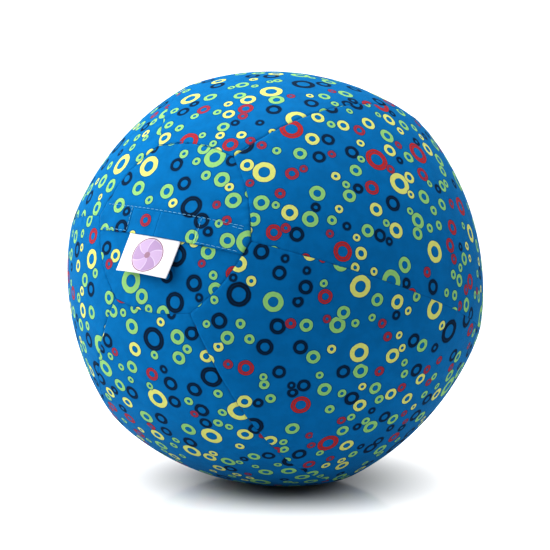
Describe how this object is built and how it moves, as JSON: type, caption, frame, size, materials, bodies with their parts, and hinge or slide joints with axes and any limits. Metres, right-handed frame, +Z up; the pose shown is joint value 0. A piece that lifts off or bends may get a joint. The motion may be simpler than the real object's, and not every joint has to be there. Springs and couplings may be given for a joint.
{
  "type": "balloon cover ball",
  "caption": "Large soft play ball: a sewn cotton cover of gores and hexagonal caps over a balloon, with a slit, a lifting flap and a satin tab.",
  "frame": {"origin": "on the floor under the ball's centre, in the flattened patch it rests on", "axes": "+Z up, -Y to the side the front cap looks towards, +X to the right of the slit"},
  "size_m": [0.3054, 0.3019, 0.2967],
  "materials": {
    "printed_cotton": "plain weave cotton, bright blue with a print of small rings",
    "seam_thread": "dark blue sewing thread",
    "pale_thread": "light blue sewing thread",
    "satin": "white woven satin with a round lilac mark",
    "latex": "inflated balloon latex"
  },
  "bodies": {
    "ball": {"gore_1": "printed_cotton", "gore_2": "printed_cotton", "gore_3": "printed_cotton", "gore_4": "printed_cotton", "gore_5": "printed_cotton", "gore_6": "printed_cotton", "front_cap_upper": "printed_cotton", "front_cap_lower": "printed_cotton", "rear_cap": "printed_cotton", "long_seam_1": "seam_thread", "long_seam_2": "seam_thread", "long_seam_3": "seam_thread", "long_seam_4": "seam_thread", "long_seam_5": "seam_thread", "long_seam_6": "seam_thread", "front_ring_seam": "seam_thread", "rear_ring_seam": "seam_thread", "upper_hem_stitching": "pale_thread", "lower_hem_stitching": "pale_thread", "box_stitching_left": "pale_thread", "box_stitching_right": "pale_thread", "balloon": "latex"},
    "flap": {"opening_flap": "printed_cotton"},
    "tab": {"label_tab": "satin"}
  },
  "joints": [
    {"name": "flap_lift", "type": "hinge", "parent": "ball", "child": "flap", "pos_m": [-0.0019, -0.13426, 0.20757], "axis": [-0.9966, 0.0294, 0.0765], "range_deg": [0, 60]},
    {"name": "tab_flip", "type": "hinge", "parent": "flap", "child": "tab", "pos_m": [-0.00642, -0.14007, 0.1915], "axis": [-0.9966, 0.0294, 0.0765], "range_deg": [0, 110], "stiffness_Nm_per_rad": 0.002}
  ]
}
